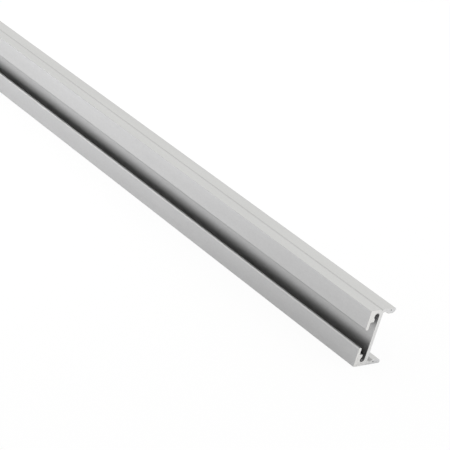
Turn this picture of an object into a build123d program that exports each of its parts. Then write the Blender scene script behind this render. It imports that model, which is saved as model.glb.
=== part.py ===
from build123d import *
import os

# Stock length and overall height, in millimetres
length = 1000.0
height = 20.0

# Each flange's wall between its outer face and its screw port; the bar lies on the thicker one
lower_flange = 1.4
upper_flange = 1.1

# A round screw port in each inner corner of the front channel touches the web's front face
port_bore = 2.1
web_setback = 4.2
web_wall = 1.35

# Two lips leave a slot, their height taken from the outer face; a catch behind each covers its port
lip_wall = 1.15
lip_height = 6.85
lip_land = 0.15
catch_depth = 2.6
lower_cover = 0.75
upper_cover = 0.95

# Each leg runs back from the web, then up a ramp to a bead that faces the other leg's bead
leg_wall = 1.0
leg_run = 1.3
lower_reach = 6.15
lower_ramp = 1.4
lower_bead = 1.6
upper_reach = 5.45
upper_ramp = 1.1
upper_bead = 1.75
tip_land = 0.05

# Drill line over the web on the upper flange, and the die's corner radii
groove_width = 0.85
edge_radius = 0.3
root_radius = 0.3
ramp_radius = 0.6

# The section is centred between its front face and the tip of the longest leg
leg_root = web_setback + web_wall
front = -(leg_root + max(lower_reach, upper_reach)) / 2
middle = height / 2
lip_back = front + lip_wall
catch_back = front + catch_depth
web_front = front + web_setback
web_back = front + leg_root
leg_foot = web_back + leg_run
port_radius = port_bore / 2
port_across = web_front - port_radius
lip_radius = (lip_wall - lip_land) / 2
groove_side = groove_width / 2**0.5


def corners(sketch, *points):
    return [sketch.vertices().sort_by_distance(point)[0] for point in points]


def half_section(flange, cover, reach, ramp, bead):
    """Half of the section, from one flange's outer face up to mid-height, for that flange's wall and leg."""
    tip = web_back + reach
    port_up = flange + port_radius
    catch_up = flange + port_bore + cover
    toe = (front, 0)
    heel = (tip, 0)
    nose = (tip, bead)
    bead_foot = (leg_foot, leg_wall)
    bead_shoulder = (leg_foot + ramp, bead)
    web_root = (web_back, leg_wall)
    catch_corner = (catch_back, catch_up)
    catch_root = (lip_back, catch_up)
    lip_inner = (lip_back, lip_height)
    lip_outer = (front, lip_height)
    with BuildSketch() as half:
        with BuildLine():
            Polyline(
                toe, heel, nose, bead_shoulder, bead_foot, web_root,
                (web_back, middle), (web_front, middle),
                (web_front, port_up), (catch_back, port_up),
                catch_corner, catch_root, lip_inner, lip_outer,
                close=True,
            )
        make_face()
        with Locations((port_across, port_up)):
            Circle(port_radius, mode=Mode.SUBTRACT)
        fillet(corners(half, toe, heel, catch_corner), edge_radius)
        fillet(corners(half, web_root, catch_root), root_radius)
        fillet(corners(half, lip_inner, lip_outer), lip_radius)
        fillet(corners(half, bead_foot, bead_shoulder), ramp_radius)
        fillet(corners(half, nose), bead - edge_radius - tip_land)
    return half.sketch


# One bar, pressed through the die in one piece and sawn square at both ends
with BuildPart() as profile:
    with BuildSketch(Plane.YZ):
        add(half_section(lower_flange, lower_cover, lower_reach, lower_ramp, lower_bead))
        mirror(
            half_section(upper_flange, upper_cover, upper_reach, upper_ramp, upper_bead),
            about=Plane.XZ.offset(-middle),
        )
        with Locations(((web_front + web_back) / 2, height)):
            Rectangle(groove_side, groove_side, rotation=45, mode=Mode.SUBTRACT)
    extrude(amount=length / 2, both=True)

profile.part.label = "extruded_profile"
os.makedirs("parts", exist_ok=True)
export_step(profile.part, "parts/extruded_profile.step")
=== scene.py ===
import math

import bmesh
import bpy
from mathutils import Matrix, Vector


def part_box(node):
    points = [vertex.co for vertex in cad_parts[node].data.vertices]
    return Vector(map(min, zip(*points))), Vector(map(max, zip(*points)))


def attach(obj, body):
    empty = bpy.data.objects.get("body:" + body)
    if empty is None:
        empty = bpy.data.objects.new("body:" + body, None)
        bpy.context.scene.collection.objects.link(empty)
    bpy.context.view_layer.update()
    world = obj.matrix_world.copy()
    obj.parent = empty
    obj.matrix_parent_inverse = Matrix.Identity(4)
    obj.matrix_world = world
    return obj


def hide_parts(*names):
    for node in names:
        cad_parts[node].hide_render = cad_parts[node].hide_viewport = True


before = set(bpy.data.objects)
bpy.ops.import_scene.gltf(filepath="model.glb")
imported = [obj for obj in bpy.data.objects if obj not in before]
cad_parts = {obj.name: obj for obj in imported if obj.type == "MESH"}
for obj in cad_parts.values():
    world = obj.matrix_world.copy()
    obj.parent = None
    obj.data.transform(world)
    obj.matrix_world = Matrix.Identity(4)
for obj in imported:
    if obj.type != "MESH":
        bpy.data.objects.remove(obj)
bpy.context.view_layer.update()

# The bar: one length of aluminium, pressed hot through a die in one piece, then sawn to length.
# A slot between two lips runs along its front, with a catch and a round screw port behind each lip,
# and behind its web two legs end in rounded beads that face each other.
mm = 0.001
bar_low, bar_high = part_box("extruded_profile")
bar_length = bar_high.x - bar_low.x
bar_height = bar_high.z - bar_low.z
lower_flange = 1.4 * mm
upper_flange = 1.1 * mm
port_radius = 1.05 * mm
web_front = 4.2 * mm
web_back = 5.55 * mm
lip_wall = 1.15 * mm
lip_height = 6.85 * mm
lip_radius = 0.5 * mm
catch_depth = 2.6 * mm
lower_cover = 0.75 * mm
upper_cover = 0.95 * mm
leg_wall = 1.0 * mm
leg_run = 1.3 * mm
lower_reach = 6.15 * mm
lower_ramp = 1.4 * mm
lower_bead = 1.6 * mm
upper_reach = 5.45 * mm
upper_ramp = 1.1 * mm
upper_bead = 1.75 * mm
tip_land = 0.05 * mm
drill_line_width = 0.85 * mm
edge_radius = 0.3 * mm
root_radius = 0.3 * mm
ramp_radius = 0.6 * mm
arc_step = math.radians(8)
web_middle = (web_front + web_back) / 2
drill_half = drill_line_width / 2
drill_line = [
    (web_middle - drill_half, 0, 0),
    (web_middle, drill_half, 0),
    (web_middle + drill_half, 0, 0),
]


def round_off(before, corner, after, radius):
    """Points of the arc that replaces a corner of the section."""
    to_before = (before - corner).normalized()
    to_after = (after - corner).normalized()
    half_angle = to_before.angle(to_after) / 2
    set_back = radius / math.tan(half_angle)
    centre = corner + (to_before + to_after).normalized() * (radius / math.sin(half_angle))
    start = (corner + to_before * set_back - centre).normalized()
    end = (corner + to_after * set_back - centre).normalized()
    steps = math.ceil(start.angle(end) / arc_step)
    return [centre + start.slerp(end, k / steps) * radius for k in range(steps + 1)]


def half_section(flange, cover, reach, ramp, bead, groove):
    """Outline of one half, from the web's front round port, lip, flange and leg to the web's back."""
    port = Vector((web_front - port_radius, flange + port_radius))
    port_sweep = 2 * math.pi - math.acos((catch_depth - port.x) / port_radius)
    port_steps = math.ceil(port_sweep / arc_step)
    outline = []
    for k in range(port_steps + 1):
        angle = -port_sweep * k / port_steps
        outline.append(port + port_radius * Vector((math.cos(angle), math.sin(angle))))
    catch_height = flange + 2 * port_radius + cover
    foot = web_back + leg_run
    tip = web_back + reach
    # Each corner is its place behind the front face, its height above the outer face, and its radius
    corners = [
        (*outline[-1], 0),
        (catch_depth, catch_height, edge_radius),
        (lip_wall, catch_height, root_radius),
        (lip_wall, lip_height, lip_radius),
        (0, lip_height, lip_radius),
        (0, 0, edge_radius),
        *groove,
        (tip, 0, edge_radius),
        (tip, bead, bead - edge_radius - tip_land),
        (foot + ramp, bead, ramp_radius),
        (foot, leg_wall, ramp_radius),
        (web_back, leg_wall, root_radius),
        (web_back, bar_height / 2, 0),
    ]
    for before, corner, after in zip(corners, corners[1:], corners[2:]):
        if corner[2] > 0:
            outline += round_off(Vector(before[:2]), Vector(corner[:2]), Vector(after[:2]), corner[2])
        else:
            outline.append(Vector(corner[:2]))
    return outline


lower_half = half_section(lower_flange, lower_cover, lower_reach, lower_ramp, lower_bead, [])
upper_half = half_section(upper_flange, upper_cover, upper_reach, upper_ramp, upper_bead, drill_line)
section = lower_half + [Vector((p.x, bar_height - p.y)) for p in upper_half[::-1]]

# The saw takes a hair's breadth off every edge of the cut, so each end has a narrow bevel.
# The rings between the ends keep the long faces in pieces of even length.
saw_break = 0.06 * mm
ring_gap = 40 * mm
skin_slot = 0
sawn_slot = 1
area = sum(a.cross(b) for a, b in zip(section, section[1:] + section[:1])) / 2
sawn_section = []
for before, here, after in zip(section[-1:] + section, section, section[1:] + section[:1]):
    along = (after - before).normalized()
    inward = Vector((-along.y, along.x)) * math.copysign(1, area)
    sawn_section.append(here + inward * saw_break)
ring_count = round(bar_length / ring_gap)
rings = [(bar_low.x, sawn_section)]
for k in range(ring_count + 1):
    rings.append((bar_low.x + saw_break + (bar_length - 2 * saw_break) * k / ring_count, section))
rings.append((bar_high.x, sawn_section))

bar_mesh = bpy.data.meshes.new("extruded_bar")
bm = bmesh.new()
loops = []
for x, outline in rings:
    loops.append([bm.verts.new((x, bar_low.y + p.x, bar_low.z + p.y)) for p in outline])
count = len(section)
for ring, (first, second) in enumerate(zip(loops, loops[1:])):
    for k in range(count):
        face = bm.faces.new((first[k], first[(k + 1) % count], second[(k + 1) % count], second[k]))
        face.material_index = sawn_slot if ring in (0, len(loops) - 2) else skin_slot
        face.smooth = True
far_cap = bm.faces.new(loops[0][::-1])
far_cap.material_index = sawn_slot

# The shown end has a pit like a pin prick in each bead, where the blade tore out a grain of metal.
# The rest of that end is filled in flat round them, and only true corners are left sharp.
pit_depth = 1.2 * mm
pit_sides = 12
lower_pit = Vector((8.5 * mm, 0.85 * mm))
lower_pit_radius = 0.24 * mm
upper_pit = Vector((8.87 * mm, bar_height - 0.5 * mm))
upper_pit_radius = 0.22 * mm
sharp_corner = math.radians(25)
borders = [loops[-1]]
for centre, pit_radius in ((lower_pit, lower_pit_radius), (upper_pit, upper_pit_radius)):
    rim = []
    for k in range(pit_sides):
        angle = 2 * math.pi * k / pit_sides
        p = centre + pit_radius * Vector((math.cos(angle), math.sin(angle)))
        rim.append(bm.verts.new((bar_high.x, bar_low.y + p.x, bar_low.z + p.y)))
    bottom = bm.verts.new((bar_high.x - pit_depth, bar_low.y + centre.x, bar_low.z + centre.y))
    for k in range(pit_sides):
        bm.faces.new((rim[k], bottom, rim[(k + 1) % pit_sides]))
    borders.append(rim)
border_edges = []
for border in borders:
    border_edges += [bm.edges.get((a, b)) for a, b in zip(border, border[1:] + border[:1])]
filled = bmesh.ops.triangle_fill(bm, edges=border_edges, use_beauty=True, normal=(1, 0, 0))
for part in filled["geom"]:
    if isinstance(part, bmesh.types.BMFace):
        part.material_index = sawn_slot
bmesh.ops.recalc_face_normals(bm, faces=bm.faces)
bm.to_mesh(bar_mesh)
bm.free()
bar_mesh.set_sharp_from_angle(angle=sharp_corner)
bar = bpy.data.objects.new("extruded_bar", bar_mesh)
bpy.context.scene.collection.objects.link(bar)
flat_faces = bar.modifiers.new("flat_faces_stay_flat", "WEIGHTED_NORMAL")
flat_faces.keep_sharp = True

# The skin: etched and anodised to a satin silver-grey, a hard clear layer grown on the metal.
# The die's fine scratches still show through it as streaks along the bar, and the etching
# leaves a fine grain and a little cloudiness. The hollows are painted darker, a painted shade.
streak_width = 0.35 * mm
streak_length = 400 * mm
streak_detail = 3.0
streak_depth = 0.004 * mm
streak_strength = 0.4
cloud_width = 6 * mm
cloud_length = 60 * mm
grain_width = 0.5 * mm
grain_length = 0.9 * mm
etch_detail = 2.0
skin_dark = (0.48, 0.481, 0.486, 1)
skin_pale = (0.60, 0.601, 0.606, 1)
skin_smooth = 0.37
skin_rough = 0.49
# How far the painted shade in the hollows reaches, and how dark it gets.
hollow_reach = 8 * mm
painted_hollow_shade = 0.76
hollow_shut = 0.1
hollow_open = 0.9
anodised = bpy.data.materials.new("satin_anodised_aluminium")
anodised.use_nodes = True
nodes, links = anodised.node_tree.nodes, anodised.node_tree.links
skin = nodes["Principled BSDF"]
skin.inputs["Metallic"].default_value = 1.0
place = nodes.new("ShaderNodeTexCoord")


def stretched_noise(across, along, detail):
    """Noise in streaks that run along the bar, from its feature sizes across and along it in metres."""
    stretch = nodes.new("ShaderNodeMapping")
    stretch.inputs["Scale"].default_value = (1 / along, 1 / across, 1 / across)
    links.new(place.outputs["Object"], stretch.inputs["Vector"])
    streaks = nodes.new("ShaderNodeTexNoise")
    streaks.inputs["Scale"].default_value = 1.0
    streaks.inputs["Detail"].default_value = detail
    links.new(stretch.outputs["Vector"], streaks.inputs["Vector"])
    return streaks.outputs["Fac"]


def spread(source, low, high):
    """Maps a 0 to 1 value on to a range."""
    span = nodes.new("ShaderNodeMapRange")
    span.inputs["To Min"].default_value = low
    span.inputs["To Max"].default_value = high
    links.new(source, span.inputs["Value"])
    return span.outputs["Result"]


die_lines = stretched_noise(streak_width, streak_length, streak_detail)
cloudy = stretched_noise(cloud_width, cloud_length, etch_detail)
grain = stretched_noise(grain_width, grain_length, etch_detail)
etch = nodes.new("ShaderNodeMix")
links.new(cloudy, etch.inputs["A"])
links.new(grain, etch.inputs["B"])
tone = nodes.new("ShaderNodeMix")
tone.data_type = "RGBA"
tone.inputs["A"].default_value = skin_dark
tone.inputs["B"].default_value = skin_pale
links.new(etch.outputs["Result"], tone.inputs["Factor"])
# Painted shade: the skin colour is darkened wherever ambient occlusion finds the metal shut in, as in the
# slot.
openness = nodes.new("ShaderNodeAmbientOcclusion")
openness.only_local = True
openness.inputs["Distance"].default_value = hollow_reach
painted_hollow_shading = nodes.new("ShaderNodeMapRange")
painted_hollow_shading.inputs["From Min"].default_value = hollow_shut
painted_hollow_shading.inputs["From Max"].default_value = hollow_open
painted_hollow_shading.inputs["To Min"].default_value = painted_hollow_shade
links.new(openness.outputs["AO"], painted_hollow_shading.inputs["Value"])
skin_tone_with_painted_shade = nodes.new("ShaderNodeVectorMath")
skin_tone_with_painted_shade.operation = "SCALE"
links.new(tone.outputs["Result"], skin_tone_with_painted_shade.inputs[0])
links.new(painted_hollow_shading.outputs["Result"], skin_tone_with_painted_shade.inputs["Scale"])
links.new(skin_tone_with_painted_shade.outputs["Vector"], skin.inputs["Base Color"])
links.new(spread(die_lines, skin_smooth, skin_rough), skin.inputs["Roughness"])
relief = nodes.new("ShaderNodeBump")
relief.inputs["Strength"].default_value = streak_strength
relief.inputs["Distance"].default_value = streak_depth
links.new(die_lines, relief.inputs["Height"])
links.new(relief.outputs["Normal"], skin.inputs["Normal"])

# The sawn ends: bare metal, brighter than the skin, because the bar is cut after it is anodised.
# A round blade, its spindle in front of the bar and above it, leaves faint arcs across them,
# cleaner at the front, where it went in.
spindle_across = -60 * mm
spindle_up = 110 * mm
saw_pitch = 0.9 * mm
arc_wander = 1.5
arc_detail = 2.0
arc_share = 0.15
radians_per_unit = 20  # Blender's wave texture turns this far over one unit
cut_torn = (0.67, 0.675, 0.69, 1)
cut_clean = (0.81, 0.805, 0.795, 1)
cut_smooth = 0.38
cut_rough = 0.50
sawn = bpy.data.materials.new("sawn_aluminium")
sawn.use_nodes = True
nodes, links = sawn.node_tree.nodes, sawn.node_tree.links
cut = nodes["Principled BSDF"]
cut.inputs["Metallic"].default_value = 1.0
place = nodes.new("ShaderNodeTexCoord")
blade = nodes.new("ShaderNodeMapping")
blade.inputs["Location"].default_value = (0, -spindle_across, -spindle_up)
links.new(place.outputs["Object"], blade.inputs["Vector"])
arcs = nodes.new("ShaderNodeTexWave")
arcs.wave_type = "RINGS"
arcs.rings_direction = "X"
arcs.inputs["Scale"].default_value = 2 * math.pi / (radians_per_unit * saw_pitch)
arcs.inputs["Distortion"].default_value = arc_wander
arcs.inputs["Detail"].default_value = arc_detail
links.new(blade.outputs["Vector"], arcs.inputs["Vector"])
cut_tone = nodes.new("ShaderNodeMix")
cut_tone.data_type = "RGBA"
cut_tone.inputs["A"].default_value = cut_torn
cut_tone.inputs["B"].default_value = cut_clean
across = nodes.new("ShaderNodeSeparateXYZ")
links.new(place.outputs["Object"], across.inputs["Vector"])
entry = nodes.new("ShaderNodeMapRange")
entry.inputs["From Min"].default_value = bar_high.y
entry.inputs["From Max"].default_value = bar_low.y
links.new(across.outputs["Y"], entry.inputs["Value"])
clean = nodes.new("ShaderNodeMath")
clean.use_clamp = True
links.new(entry.outputs["Result"], clean.inputs[0])
links.new(spread(arcs.outputs["Fac"], -arc_share, arc_share), clean.inputs[1])
links.new(clean.outputs["Value"], cut_tone.inputs["Factor"])
links.new(cut_tone.outputs["Result"], cut.inputs["Base Color"])
links.new(spread(arcs.outputs["Fac"], cut_smooth, cut_rough), cut.inputs["Roughness"])

bar_mesh.materials.append(anodised)
bar_mesh.materials.append(sawn)
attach(bar, "root")
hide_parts("extruded_profile")

# The floor: a wide sheet of white paper that the bar lies on.
# It shows white to the camera and pale in the metal, and keeps the bar's soft shadow.
floor_half = 20.0
paper_white = (0.912, 0.91, 0.925, 1)
camera_glow = 0.92
metal_glow = 0.10
floor_mesh = bpy.data.meshes.new("floor")
floor_corners = [(-1, -1), (1, -1), (1, 1), (-1, 1)]
floor_mesh.from_pydata([(x * floor_half, y * floor_half, 0) for x, y in floor_corners], [], [(0, 1, 2, 3)])
floor = bpy.data.objects.new("floor", floor_mesh)
bpy.context.scene.collection.objects.link(floor)
paper = bpy.data.materials.new("white_paper")
paper.use_nodes = True
nodes, links = paper.node_tree.nodes, paper.node_tree.links
nodes.clear()
sheet = nodes.new("ShaderNodeBsdfDiffuse")
sheet.inputs["Color"].default_value = paper_white
glow = nodes.new("ShaderNodeEmission")
glow.inputs["Strength"].default_value = 1.0
ray = nodes.new("ShaderNodeLightPath")


def glow_for(kind, share):
    """Share of the glow that one kind of ray sees."""
    part = nodes.new("ShaderNodeMath")
    part.operation = "MULTIPLY"
    part.inputs[1].default_value = share
    links.new(ray.outputs[kind], part.inputs[0])
    return part.outputs["Value"]


def larger(first, second):
    """The larger of two values."""
    pick = nodes.new("ShaderNodeMath")
    pick.operation = "MAXIMUM"
    links.new(first, pick.inputs[0])
    links.new(second, pick.inputs[1])
    return pick.outputs["Value"]


in_metal = larger(glow_for("Is Glossy Ray", metal_glow), glow_for("Is Transmission Ray", metal_glow))
blend = nodes.new("ShaderNodeMixShader")
links.new(larger(glow_for("Is Camera Ray", camera_glow), in_metal), blend.inputs["Fac"])
links.new(sheet.outputs["BSDF"], blend.inputs[1])
links.new(glow.outputs["Emission"], blend.inputs[2])
floor_out = nodes.new("ShaderNodeOutputMaterial")
links.new(blend.outputs["Shader"], floor_out.inputs["Surface"])
floor_mesh.materials.append(paper)

# The room: white walls, lit most from behind the bar and from its far end.
# The side where the camera stands is darker, and the camera sees all of it as white.
wall_white = (1.0, 0.998, 0.972, 1)
bright_side = (-0.7071, 0.7071, 0)
dark_until = -0.25
dark_strength = 0.92
bright_from = 0.40
bright_strength = 1.18
camera_strength = 1.0
room = bpy.data.worlds.new("white_room")
room.use_nodes = True
nodes, links = room.node_tree.nodes, room.node_tree.links
walls = nodes["Background"]
walls.inputs["Color"].default_value = wall_white
direction = nodes.new("ShaderNodeTexCoord")
facing = nodes.new("ShaderNodeVectorMath")
facing.operation = "DOT_PRODUCT"
facing.inputs[1].default_value = bright_side
links.new(direction.outputs["Generated"], facing.inputs[0])
falloff = nodes.new("ShaderNodeMapRange")
falloff.interpolation_type = "SMOOTHSTEP"
falloff.inputs["From Min"].default_value = dark_until
falloff.inputs["From Max"].default_value = bright_from
falloff.inputs["To Min"].default_value = dark_strength
falloff.inputs["To Max"].default_value = bright_strength
links.new(facing.outputs["Value"], falloff.inputs["Value"])
ray = nodes.new("ShaderNodeLightPath")
shown = nodes.new("ShaderNodeMix")
shown.inputs["B"].default_value = camera_strength
links.new(ray.outputs["Is Camera Ray"], shown.inputs["Factor"])
links.new(falloff.outputs["Result"], shown.inputs["A"])
links.new(shown.outputs["Result"], walls.inputs["Strength"])
bpy.context.scene.world = room

# The high lamp: a wide spot with a soft edge, in front of the bar and above it.
# It lights the paper that the metal mirrors, fades out near the end that shows, and leaves no glare.
high_watts = 11.0
high_radius = 0.10
high_cone = math.radians(50.4)
high_edge = 0.34
high_place = Vector((0.30, -0.60, 0.55))
high_aim = Vector((0.10, -0.03, 0.0))


def spot_lamp(name, watts, radius, cone, soft_edge, stand, aim):
    """A spot lamp that shines from where it stands towards its aim."""
    bulb = bpy.data.lights.new(name, "SPOT")
    bulb.energy = watts
    bulb.shadow_soft_size = radius
    bulb.spot_size = cone
    bulb.spot_blend = soft_edge
    lamp = bpy.data.objects.new(name, bulb)
    turn = (aim - stand).to_track_quat("-Z", "Y").to_matrix().to_4x4()
    lamp.matrix_world = Matrix.Translation(stand) @ turn
    bpy.context.scene.collection.objects.link(lamp)
    return lamp


high_lamp = spot_lamp("high_lamp", high_watts, high_radius, high_cone, high_edge, high_place, high_aim)
high_lamp.visible_glossy = False

# The low lamp: a far spot that stands as low as the bar, in front and off towards its far end.
# It shines level into the slot, fades out near the end that shows, and passes under the bar's top.
low_watts = 26.0
low_radius = 0.04
low_cone = math.radians(22.0)
low_edge = 1.0
low_place = Vector((-1.17, -2.0, 0.02))
low_aim = Vector((0.0, 0.0, 0.01))
spot_lamp("low_lamp", low_watts, low_radius, low_cone, low_edge, low_place, low_aim)

# The camera: a long lens above and in front of the end that shows.
# It is rolled so that the bar runs down across the frame to the right.
sensor_width = 36.0
lens_length = 133.85
nearest_shown = 0.01
farthest_shown = 100.0
camera_place = Vector((791.31, -376.06, 228.93)) * mm
camera_aim = Vector((423.46, -0.10, 9.86)) * mm
camera_roll = math.radians(16.317)
camera_data = bpy.data.cameras.new("camera")
camera_data.sensor_width = sensor_width
camera_data.lens = lens_length
camera_data.clip_start = nearest_shown
camera_data.clip_end = farthest_shown
camera = bpy.data.objects.new("camera", camera_data)
bpy.context.scene.collection.objects.link(camera)
bpy.context.scene.camera = camera
level = (camera_aim - camera_place).to_track_quat("-Z", "Y").to_matrix()
rolled = level @ Matrix.Rotation(camera_roll, 3, "Z")
camera.matrix_world = Matrix.Translation(camera_place) @ rolled.to_4x4()
bpy.context.scene.view_settings.view_transform = "Standard"
